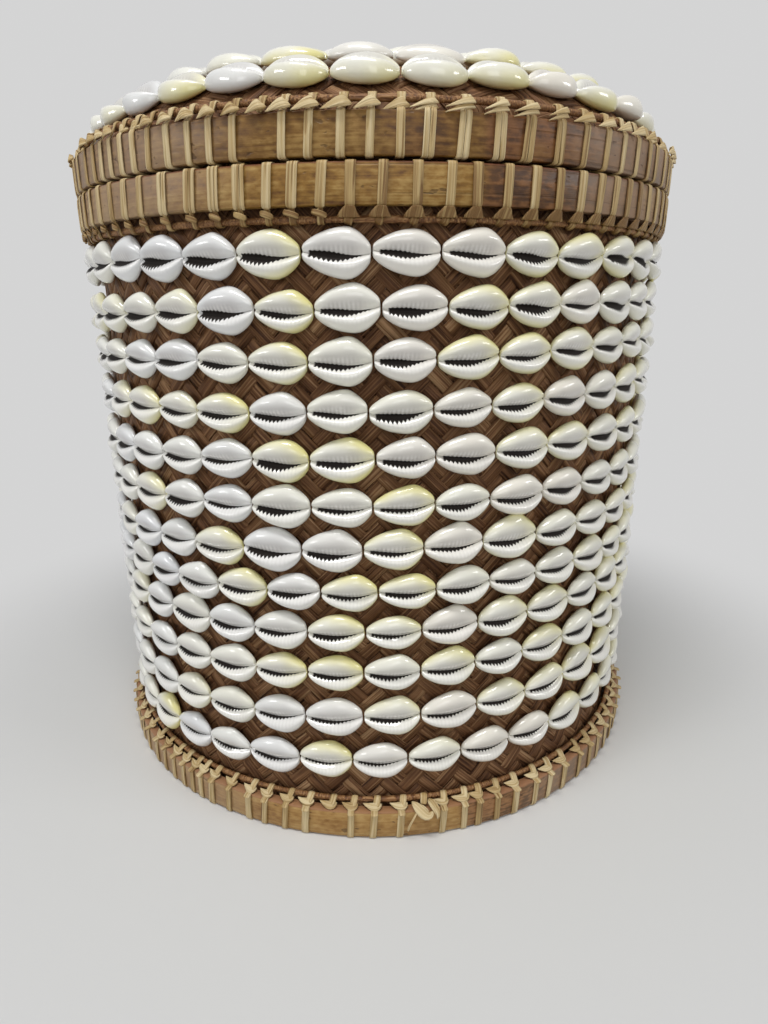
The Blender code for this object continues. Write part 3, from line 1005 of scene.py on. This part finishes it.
# A frayed end of cane at the foot: two curls and a loose fibre
FRAY_LEAF = (
    (-0.0042, 0.0026, 1.10, 0.20),
    (-0.0028, 0.0048, 0.90, 0.75),
    (-0.0008, 0.0066, 0.40, 1.10),
    (0.0010, 0.0078, -0.20, 1.00),
    (0.0026, 0.0080, -0.30, 0.60),
    (0.0034, 0.0070, 0.30, 0.30),
)
FRAY_CURL = (
    (0.0028, 0.0022, 1.10, 0.40),
    (0.0040, 0.0044, 1.00, 0.75),
    (0.0052, 0.0064, 0.40, 0.70),
    (0.0060, 0.0074, -0.50, 0.45),
    (0.0054, 0.0076, -1.10, 0.15),
)
FRAY_FIBRE = (
    (-0.0024, 0.0060, 0.30, 0.14),
    (-0.0040, 0.0078, -0.30, 0.16),
    (-0.0054, 0.0082, -1.20, 0.18),
    (-0.0062, 0.0078, -2.20, 0.20),
    (-0.0064, 0.0074, -3.00, 0.16),
)
# Widths of the ribbons that the folds are made of
NECK_WIDTH = 0.0027
LEAF_WIDTH = 0.0029
FOOT_LEAF_WIDTH = 0.0034
FRAY_WIDTH = 0.0044
FLAP_WIDTH = 0.0031
UNDER_BAND_WIDTH = 0.0032
UNDER_NECK_WIDTH = 0.0021
BOW_WIDTH = 0.0017
# How far a fold looks up, as a slope
LEAF_RISE = 0.3
FOOT_LEAF_RISE = 1.2
FRAY_RISE = 1.0
FLAP_RISE = -0.3
BOW_RISE = -0.1
# Degrees from the front at which the folds change, and those of the frayed end and the worn straps
FLAP_FROM = -5.0
LONG_LEAF_FROM = -14.0
FRAYED = 7.5
LID_WORN = (-15.0,)
FOOT_WORN = (-8.6, 7.5)
# A strap on the lid that is broader than this has a leaf in two strands
LID_BROAD = 0.0032
STRAND_STEP = 0.0013
STRAND_LIFT = 0.0002
STRAND_THINNING = 0.8
# One leaf in so many lies closer in
INSET_CHANCE = 0.2
LEAF_INSET = 0.0022
SHORT_LEAF = 0.7


def sew_leaf(bm, binding, degrees, width, tone):
    angle = math.radians(degrees)
    inset = LEAF_INSET if lash_dice.random() < INSET_CHANCE else 0.0
    size = lash_dice.uniform(0.85, 1.1)
    if degrees < LONG_LEAF_FROM:
        size *= SHORT_LEAF
        tone -= 0.2
    leaf = binding.fold(LEAF, size, inset)
    neck = binding.neck(lash_dice.uniform(0.0003, 0.0009))
    binding.lead(bm, angle, neck, min(width, NECK_WIDTH), tone)
    strands = 2 if width > LID_BROAD else 1
    strand_width = LEAF_WIDTH / strands**STRAND_THINNING
    for strand in range(strands):
        offset = (strand - (strands - 1) / 2.0) * STRAND_STEP
        lift = STRAND_LIFT * strand
        spread_out = [(radius + lift, height + offset, *rest) for radius, height, *rest in leaf]
        leaf_tone = tone + 0.15 + lash_dice.uniform(-0.1, 0.1)
        binding.lead(bm, angle, spread_out, strand_width, leaf_tone, LEAF_RISE)


def sew_foot(bm, binding, degrees, width, tone):
    angle = math.radians(degrees)
    size = lash_dice.uniform(0.85, 1.1)
    binding.lead(bm, angle, binding.fold(FOOT_BAND, size), min(width, NECK_WIDTH), tone)
    if degrees == FRAYED:
        for shape in (FRAY_LEAF, FRAY_CURL, FRAY_FIBRE):
            binding.lead(bm, angle, binding.fold(shape, 1.0), FRAY_WIDTH, 0.9, FRAY_RISE)
        return
    if degrees not in FOOT_WORN:
        binding.lead(bm, angle, binding.fold(FOOT_LEDGE, size), width, tone - 0.05)
    leaf = binding.fold(FOOT_LEAF, size)
    binding.lead(bm, angle, leaf, FOOT_LEAF_WIDTH, tone + 0.12, FOOT_LEAF_RISE)


def sew_under(bm, binding, degrees, width, tone):
    """The folds in the rim's shadow. Their tones are darker as painted shade, and vary less than those of
    the straps.
    """
    angle = math.radians(degrees)
    size = lash_dice.uniform(0.9, 1.05)
    if degrees > FLAP_FROM:
        shaded_flap_tone = tone * 0.4 - 0.4
        flap = binding.fold(RIM_FLAP, size)
        binding.lead(bm, angle, flap, FLAP_WIDTH * size, shaded_flap_tone, FLAP_RISE)
        binding.lead(bm, angle, binding.fold(UNDER_BAND, size), UNDER_BAND_WIDTH, shaded_flap_tone, 0.0)
    else:
        binding.lead(bm, angle, binding.neck(-0.0004), UNDER_NECK_WIDTH, tone * 0.4 - 0.3)
        bow = binding.fold(RIM_BOW, size)
        binding.lead(bm, angle, bow, BOW_WIDTH, tone * 0.5 - 0.45, BOW_RISE)


# %% [markdown]
# The straps' places are degrees from the front, read off the photograph, and go on evenly round the
# back. Some straps lie in two or three strands. Some have worn away and left only their folds.

# %% Sew the three hoops
LID_ANGLES = (
    -58.4, -53.0, -49.1, -45.9, -43.0, -40.0, -36.8, -33.3, -29.7, -25.9, -22.4, -18.7, -15.0, -11.8, -8.2,
    -4.1, -0.3, 3.5, 7.3, 12.0, 16.9, 21.4, 26.4, 31.2, 35.8, 39.9, 44.0, 48.3, 51.6, 56.8,
)
RIM_ANGLES = (
    -57.7, -53.6, -49.3, -44.8, -40.8, -36.7, -31.8, -26.7, -22.6, -18.6, -14.6, -11.1, -7.2, -3.2, 1.0,
    5.7, 10.1, 13.9, 18.3, 22.6, 26.8, 30.9, 34.8, 38.5, 42.2, 46.1, 50.0, 53.9,
)
FOOT_ANGLES = (
    -55.1, -50.5, -46.9, -43.3, -40.2, -37.3, -35.0, -32.1, -28.0, -23.8, -20.4, -16.4, -12.7, -8.6, -4.8,
    -0.8, 3.8, 7.5, 11.2, 15.0, 17.8, 21.4, 25.3, 29.9, 33.5, 37.5, 42.4, 46.3, 50.0, 54.0,
)
HALF_TURN = 180.0
# Degrees between two stitches at the back
LID_PITCH = 4.3
RIM_PITCH = 4.1
FOOT_PITCH = 3.9
# Degrees between which the straps lie in several strands
LID_DOUBLE = (7.0, 27.0)
RIM_SPLIT = (-33.0, -18.0)
# How much darker the rim's straps are to the right, where they end in flaps
RIM_DARKER = 0.25
# Widths of a strap that lies single, and of one that lies in strands
LID_WIDTHS = (0.0022, 0.0028)
LID_DOUBLE_WIDTHS = (0.0033, 0.0040)
RIM_WIDTHS = (0.0026, 0.0034)
RIM_SPLIT_WIDTHS = (0.0034, 0.0042)
FOOT_WIDTHS = (0.0024, 0.0031)
# Tones and slopes of a strap, and how much its strands differ in both
STRAP_TONES = (0.30, 0.85)
STRAP_SLOPES = (0.02, 0.09)
STRAND_TONES = (-0.12, 0.12)
STRAND_SLOPES = (-0.02, 0.02)
STRAND_SPACING = 1.06


def all_round(measured, pitch):
    """The measured angles, then evenly spaced ones round the back."""
    gap = 2.0 * HALF_TURN - (measured[-1] - measured[0])
    count = round(gap / pitch) - 1
    return list(measured) + [measured[-1] + gap * (number + 1) / (count + 1) for number in range(count)]


def sew(name, node, binding, angles, body, strands_at, sew_fold, worn):
    """All the stitches of one hoop. strands_at(degrees) gives a strap's strands, width and darkness."""
    bm = new_mesh(TONE_NAME)
    for degrees in angles:
        if degrees > HALF_TURN:
            degrees -= 2.0 * HALF_TURN
        angle = math.radians(degrees)
        strands, width, darker = strands_at(degrees)
        tone = lash_dice.uniform(*STRAP_TONES) - darker
        slope = lash_dice.uniform(*STRAP_SLOPES)
        strand_width = width / strands
        for strand in range(0 if degrees in worn else strands):
            aside = (strand - (strands - 1) / 2.0) * strand_width * STRAND_SPACING
            strand_slope = slope + lash_dice.uniform(*STRAND_SLOPES)
            path = [
                (radius, height, aside + strand_slope * (height - binding.near), share)
                for radius, height, _, share in binding.strap()
            ]
            binding.lead(bm, angle, path, strand_width, tone + lash_dice.uniform(*STRAND_TONES))
        sew_fold(bm, binding, degrees, width, tone)
    piece = show(name, bm, straw_look, body, [node])
    subdivide(piece, 1)
    thicken(piece, STRAP_THICKNESS, -1.0)
    print(name + ":", len(angles), "stitches,", len(piece.data.polygons), "faces")


def lid_strands(degrees):
    if LID_DOUBLE[0] <= degrees <= LID_DOUBLE[1]:
        return 2, lash_dice.uniform(*LID_DOUBLE_WIDTHS), 0.0
    return 1, lash_dice.uniform(*LID_WIDTHS), 0.0


def rim_strands(degrees):
    if RIM_SPLIT[0] <= degrees <= RIM_SPLIT[1]:
        return lash_dice.choice((2, 3)), lash_dice.uniform(*RIM_SPLIT_WIDTHS), 0.0
    return 1, lash_dice.uniform(*RIM_WIDTHS), RIM_DARKER if degrees > FLAP_FROM else 0.0


def foot_strands(degrees):
    return 1, lash_dice.uniform(*FOOT_WIDTHS), 0.0


lid_binding = Binding("lid_hoop", "lid_cane", SIDE_RADIUS)
rim_binding = Binding("rim_hoop", "rim_cane", SIDE_RADIUS)
foot_binding = Binding("foot_hoop", "foot_cane", SIDE_RADIUS + FLARE)
lid_places = all_round(LID_ANGLES, LID_PITCH)
rim_places = all_round(RIM_ANGLES, RIM_PITCH)
foot_places = all_round(FOOT_ANGLES, FOOT_PITCH)
sew("lid_straps", "lid_lashing", lid_binding, lid_places, "lid", lid_strands, sew_leaf, LID_WORN)
sew("rim_straps", "rim_lashing", rim_binding, rim_places, "basket", rim_strands, sew_under, ())
sew("foot_straps", "foot_lashing", foot_binding, foot_places, "basket", foot_strands, sew_foot, FOOT_WORN)

# %% [markdown]
# ## Cowries
#
# A cowrie lies with its mouth outwards. From the front it is an egg with its widest part past the
# middle and a blunt snout at each end. The start is a sphere of few faces whose poles are the two tips,
# so its edge loops already run along the shell. Three of them come close together, and the middle one
# dips to form the slit. Subdivision then rounds it. The sphere has only a few dozen faces, because
# there are hundreds of shells.

# %% Shape one shell
SHELL_RINGS = 8
# The poles lie a little inside the ends, which makes the ends blunt and notched
STATIONS = (0.035, 0.0, 0.11, 0.29, 0.48, 0.66, 0.84, 0.995, 0.95)
# Half widths are shares of the length, heights of the whole height, slit places of the half width there
UPPER_WIDTHS = (0.0, 0.108, 0.225, 0.348, 0.408, 0.420, 0.302, 0.128, 0.0)
LOWER_WIDTHS = (0.0, 0.108, 0.235, 0.358, 0.410, 0.440, 0.330, 0.128, 0.0)
HEIGHTS = (0.37, 0.52, 0.80, 0.96, 1.0, 0.96, 0.82, 0.54, 0.39)
# The underside curves up to the tips, so a shell rests on its middle
BASES = (0.37, 0.34, 0.22, 0.08, 0.0, 0.07, 0.20, 0.32, 0.39)
SLIT_PLACES = (0.0, -0.05, -0.09, -0.13, -0.17, -0.15, -0.10, -0.04, 0.0)
SLIT_NOTCH = 0.035
# Round the shell from the plait over the lower lobe to the slit and back: (across, out)
ROUND_SHARES = (
    (0.0, 0.0), (-1.06, 0.20), (-0.64, 1.06), (-0.19, 1.08),
    (0.0, 0.44), (0.17, 0.86), (0.60, 1.16), (1.06, 0.22),
)
LENGTH_FILL = 1.02
KNUCKLE_RING = 5


def shell_template():
    """A sphere whose vertices know their station from tip to tip and their side round the shell."""
    bm = new_mesh(WARMTH_NAME, OPENING_NAME)
    bmesh.ops.create_uvsphere(bm, u_segments=SHELL_SIDES, v_segments=SHELL_RINGS, radius=1.0)
    uv_layer = bm.loops.layers.uv[UV_NAME]
    roles = []
    for vert in bm.verts:
        station = round(SHELL_RINGS * math.acos(max(-1.0, min(1.0, vert.co.z))) / math.pi)
        side_number = round(SHELL_SIDES * math.atan2(vert.co.y, vert.co.x) / math.tau) % SHELL_SIDES
        roles.append((station, side_number))
    for face in bm.faces:
        corners = [roles[loop.vert.index] for loop in face.loops]
        sides = [side_number for station, side_number in corners if 0 < station < SHELL_RINGS]
        wraps = max(sides) - min(sides) > 1
        unwrapped = [SHELL_SIDES if wraps and side_number == 0 else side_number for side_number in sides]
        for loop in face.loops:
            station, side_number = roles[loop.vert.index]
            if station in (0, SHELL_RINGS):
                side_number = sum(unwrapped) / len(unwrapped)
            elif wraps and side_number == 0:
                side_number = SHELL_SIDES
            loop[uv_layer].uv = (STATIONS[station], side_number / SHELL_SIDES)
    mesh = bpy.data.meshes.new("shell_template")
    bm.to_mesh(mesh)
    bm.free()
    return mesh, roles


template, template_roles = shell_template()
print("shell cage:", len(template.polygons), "faces")

# %% [markdown]
# No two shells are alike. Each one gets its own width, height, shoulder, tilt and colour from seeded
# dice. The few that are plainly yellow or plainly white in the photograph are named by their row and
# by their number, counted to the right from the joint nearest the front.

# %% Lay shells in a ring
SHELL_HEIGHT = 0.0066
SEAT_GAP = 0.0003
TIP_GAP = 0.0001
LONGEST_SHELL = 0.0235
# How much one shell differs from the next, mostly as shares of what they scale
JOINT_SHIFTS = (-0.03, 0.03)
MOUTH_OPENINGS = (0.55, 1.0)
BELLY_SLIDES = (-0.03, 0.04)
BREADTHS = (0.95, 1.04)
RISES = (0.92, 1.03)
UPPER_BREADTHS = (0.93, 1.06)
KNUCKLES = (0.0, 0.04, 0.08, 0.13)
TILT_SPREAD = 0.07

shell_dice = random.Random(23)


def lay_shell(bm, seat, along, out, length, height, warmth, widest, breadth):
    """One cowrie: seat is the point of the plait under its middle, and its mouth looks out."""
    first = len(bm.verts)
    bm.from_mesh(template)
    bm.verts.ensure_lookup_table()
    warmth_layer = bm.verts.layers.float[WARMTH_NAME]
    opening_layer = bm.verts.layers.float[OPENING_NAME]
    opening = shell_dice.uniform(*MOUTH_OPENINGS) * widest
    slide = shell_dice.uniform(*BELLY_SLIDES)
    fullness = shell_dice.uniform(*BREADTHS) * breadth
    height_scale = height * shell_dice.uniform(*RISES)
    upper_scale = shell_dice.uniform(*UPPER_BREADTHS)
    knuckle = shell_dice.choice(KNUCKLES)
    out = (Matrix.Rotation(shell_dice.gauss(0.0, TILT_SPREAD), 3, along) @ out).normalized()
    up = out.cross(along)
    for (station, side_number), vert in zip(template_roles, bm.verts[first:]):
        share = STATIONS[station]
        across_share, out_share = ROUND_SHARES[side_number]
        if abs(side_number - SLIT_SIDE) <= 1:
            across_share += SLIT_PLACES[station]
        half_width = LOWER_WIDTHS[station]
        if side_number >= SLIT_SIDE:
            half_width = UPPER_WIDTHS[station] * upper_scale
        if station == KNUCKLE_RING and side_number > SLIT_SIDE:
            half_width *= 1.0 + knuckle
        at_tip = station in (0, SHELL_RINGS)
        if side_number == SLIT_SIDE and station in (1, SHELL_RINGS - 1):
            share += SLIT_NOTCH if station == 1 else -SLIT_NOTCH
        along_share = (share + slide * math.sin(math.pi * share) - 0.5) * LENGTH_FILL
        rise = height_scale * max(HEIGHTS[station] * (1.0 if at_tip else out_share), BASES[station])
        vert.co = seat + along * along_share * length + up * across_share * half_width * length * fullness
        vert.co += out * rise
        vert[warmth_layer] = warmth
        vert[opening_layer] = opening


def string_shells(bm, count, first_turn, frame_at, warmth_at, height=SHELL_HEIGHT, widest=1.0, breadth=1.0):
    """A closed ring of shells. frame_at(angle) gives the place, the way along and the way out there.

    widest is how wide the widest mouth opens, and breadth scales the shells across.
    """
    shifts = [shell_dice.uniform(*JOINT_SHIFTS) for _ in range(count)]
    joints = [first_turn + math.tau * (number + shift) / count for number, shift in enumerate(shifts)]
    joints.append(joints[0] + math.tau)
    for number, (start, end) in enumerate(zip(joints, joints[1:])):
        seat, along, out = frame_at((start + end) / 2.0)
        reach = Vector((seat + out * HEIGHTS[0] * height).xy).length
        length = min(2.0 * reach * math.tan((end - start) / 2.0), LONGEST_SHELL) - TIP_GAP
        seat += out * SEAT_GAP
        lay_shell(bm, seat, along, out, length, height, warmth_at(number), widest, breadth)


# %% [markdown]
# A row is threaded tip to tip and pulled round the basket by hand, so it isn't quite level: it climbs to
# the right and sags or rises at the sides. How much it does, and where its first joint lies, was read
# off the photograph for each of the twelve rows.

# %% Lay the rows round the side
ROW_COUNTS = (37, 38, 38, 38, 37, 37, 36, 38, 37, 37, 36, 37)
FIRST_JOINTS = (-0.6, 0.9, -0.2, -0.9, -0.3, -0.8, -2.4, 0.1, -2.1, -2.5, -2.6, -4.6)
ROW_LIFTS = (0.0, 0.0, 0.0002, 0.0002, 0.0006, 0.0003, 0.0005, 0.0009, 0.0012, 0.0007, 0.0005, 0.0002)
ROW_SLOPES = (
    0.0004, 0.0021, 0.0030, 0.0033, 0.0037, 0.0030, 0.0035, 0.0032, 0.0035, 0.0043, 0.0049, 0.0043
)
ROW_SAGS = (
    0.0010, 0.0004, 0.0025, 0.0014, -0.0040, -0.0055, -0.0075, -0.0060, -0.0035, -0.0054, -0.0044, -0.0070
)
# The ten shells round the front of each row: W white, Y yellow, S strongly yellow
ROW_TINTS = (
    "..WYWWW...", "..WY.WYYW.", ".W.Y.WYYY.", "..YW..W.W.", "..WYSWWYY.", "..W..S.WW.",
    "...WWYWY..", "..YWY.....", "..W.Y.W...", "...YS.Y.Y.", "...WW.WY..", "SW.WYW.WW.",
)
TINT_WARMTHS = {"W": (0.0, 0.15), "Y": (0.70, 0.88), "S": (0.95, 1.0)}
# Any other shell's warmth: its mean and spread, what the right adds and the left takes off, its limit
MEAN_WARMTH = 0.48
WARMTH_SPREAD = 0.18
SIDE_WARMTH = 0.22
WARMEST = 0.92
# A shell follows its row's course, taken over this many radians each way, and lies a little askew
COURSE_STEP = 0.01
ALONG_SLOPES = (-0.05, 0.05)
# The shells of the upper rows have the widest mouths, and those of the lower rows are the broadest
WIDEST_TOP_MOUTH = 1.20
MOUTH_STEP = 0.062
BROAD_AFTER = 7
BREADTH_STEP = 0.018


def warmth_of(tints, count):
    """How yellow a shell is: from the tints near the front, and elsewhere by chance."""

    def warmth_at(number):
        place = (number + len(tints) // 2) % count
        tint = tints[place] if place < len(tints) else "."
        if tint in TINT_WARMTHS:
            return shell_dice.uniform(*TINT_WARMTHS[tint])
        side = SIDE_WARMTH * math.sin(math.tau * number / count)
        return min(max(shell_dice.gauss(MEAN_WARMTH, WARMTH_SPREAD) + side, 0.0), WARMEST)

    return warmth_at


def row_frame(height, slope, sag):
    """A row's course: a little higher on the right, and by its sag lower or higher at both sides."""

    def course(angle):
        aside = math.sin(angle)
        return around(SIDE_RADIUS, angle, height + slope * aside + sag / 2.0 * aside**2)

    def frame_at(angle):
        along = (course(angle + COURSE_STEP) - course(angle - COURSE_STEP)).normalized()
        along += Vector((0.0, 0.0, shell_dice.uniform(*ALONG_SLOPES)))
        out = outward(angle)
        return course(angle), (along - out * along.dot(out)).normalized(), out

    return frame_at


for row, (count, joint) in enumerate(zip(ROW_COUNTS, FIRST_JOINTS), 1):
    row_node = f"cowrie_row_{row:02d}"
    row_low, row_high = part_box(row_node)
    row_height = (row_low.z + row_high.z) / 2.0 + ROW_LIFTS[row - 1]
    bm = new_mesh(WARMTH_NAME, OPENING_NAME)
    frame_at = row_frame(row_height, ROW_SLOPES[row - 1], ROW_SAGS[row - 1])
    warmth_at = warmth_of(ROW_TINTS[row - 1], count)
    widest = WIDEST_TOP_MOUTH - MOUTH_STEP * row
    breadth = 1.0 + BREADTH_STEP * max(row - BROAD_AFTER, 0)
    string_shells(bm, count, math.radians(joint), frame_at, warmth_at, SHELL_HEIGHT, widest, breadth)
    subdivide(show(f"shells_{row:02d}", bm, cowrie_look, "basket", [row_node]), 2)
print("rows:", len(ROW_COUNTS), "with", sum(ROW_COUNTS), "shells")

# %% [markdown]
# On the lid the shells lie in closed rings, each with fewer shells than the one outside it. Two rings
# show in the photograph, and the others go on inwards to the middle. A ring lies on a straight band of
# the crown.

# %% Lay the rings on the lid
RING_COUNTS = (35, 28, 24, 20, 15, 10, 5)
RING_JOINTS = (4.1, 4.2, 1.4, 8.0, 5.0, 11.0, 0.0)
FIRST_RING_RADIUS = 0.1165
MIDDLE_RING_RADIUS = 0.017
RING_TINTS = ("WYWY..YWYW", "...YW..Y..", "", "", "", "", "")
# The two outer rings lean back from the slope under them, and the first one has the fattest shells
RING_LEANS = (0.19, 0.07, 0.0, 0.0, 0.0, 0.0, 0.0)
RING_HEIGHTS = (0.0080,) + (SHELL_HEIGHT,) * 6
RING_SINKS = (0.0010, 0.0, 0.0, 0.0, 0.0, 0.0, 0.0)


def ring_frame(radius, band, lean, sink):
    """A ring's course on the straight band of crown under it."""
    outer = crown_height(radius + band / 2.0)
    inner = crown_height(radius - band / 2.0)
    slope = math.atan2(inner - outer, band) - lean

    def frame_at(angle):
        out = outward(angle) * math.sin(slope) + Vector((0.0, 0.0, math.cos(slope)))
        seat = around(radius, angle, skirt_top + (outer + inner) / 2.0) - out * sink
        return seat, Vector((math.cos(angle), math.sin(angle), 0.0)), out

    return frame_at


ring_step = (FIRST_RING_RADIUS - MIDDLE_RING_RADIUS) / (len(RING_COUNTS) - 1)
for ring, (count, joint) in enumerate(zip(RING_COUNTS, RING_JOINTS), 1):
    bm = new_mesh(WARMTH_NAME, OPENING_NAME)
    ring_radius = FIRST_RING_RADIUS - (ring - 1) * ring_step
    frame_at = ring_frame(ring_radius, ring_step, RING_LEANS[ring - 1], RING_SINKS[ring - 1])
    warmth_at = warmth_of(RING_TINTS[ring - 1], count)
    string_shells(bm, count, math.radians(joint), frame_at, warmth_at, RING_HEIGHTS[ring - 1])
    piece = show(f"lid_shells_{ring}", bm, cowrie_look, "lid", [f"lid_cowrie_ring_{ring}"])
    subdivide(piece, 2)
bpy.data.meshes.remove(template)
print("rings:", len(RING_COUNTS), "with", sum(RING_COUNTS), "shells")

# %% [markdown]
# ## Floor of the studio
#
# A pale floor under the basket catches its shadow. Far off it fades into a plain glow of the same grey
# as the world, so no horizon is seen. That glow and the world's grey are there for the camera and for
# reflections only. The light that falls on the basket comes from the lamps, the floor and a dimmer world.

# %% Lay the floor and set the world
STAGE_SIZE = 4.0
BACKDROP_GREY = 0.66
WORLD_GREY = 0.20
FLOOR_GREY = rgb(0.70, 0.70, 0.69)
BLACK = rgb(0.0, 0.0, 0.0)
# The floor fades into the glow between these distances from its middle
FLOOR_FADE = (0.13, 0.34)
SEEN_RAYS = ("Is Camera Ray", "Is Glossy Ray", "Is Transmission Ray")


def backdrop_share(start):
    """1 for rays that show something, straight or in a reflection, and 0 for rays that gather light."""
    camera, glossy, clear = [start.node("LightPath", {}, None, ray) for ray in SEEN_RAYS]
    return spread(camera + glossy + clear, 0.0, 1.0)


def floor_surface(start):
    place = start.node("TexCoord", {}, None, "Object")
    distance = start.node("VectorMath", {"operation": "LENGTH"}, {0: place}, "Value")
    far = spread(distance, *FLOOR_FADE) * backdrop_share(start)
    glow = rgb(BACKDROP_GREY, BACKDROP_GREY, BACKDROP_GREY)
    return {
        "Base Color": mixed(far, FLOOR_GREY, BLACK),
        "Roughness": 0.6,
        "Specular IOR Level": 0.0,
        "Emission Color": mixed(far, BLACK, glow),
        "Emission Strength": 1.0,
    }


floor_bm = bmesh.new()
bmesh.ops.create_grid(floor_bm, x_segments=1, y_segments=1, size=STAGE_SIZE)
floor_mesh = bpy.data.meshes.new("studio_floor")
floor_bm.to_mesh(floor_mesh)
floor_bm.free()
floor_mesh.materials.append(finish_look("studio_floor", floor_surface))
studio_floor = bpy.data.objects.new("studio_floor", floor_mesh)
bpy.context.scene.collection.objects.link(studio_floor)

world = bpy.data.worlds.new("studio")
world.use_nodes = True
bpy.context.scene.world = world
sky = Value(world.node_tree)
strength = backdrop_share(sky) * (BACKDROP_GREY - WORLD_GREY) + WORLD_GREY
background = world.node_tree.nodes["Background"]
background.inputs["Color"].default_value = rgb(1.0, 1.0, 1.0)
world.node_tree.links.new(strength.socket, background.inputs["Strength"])
print("studio ready")
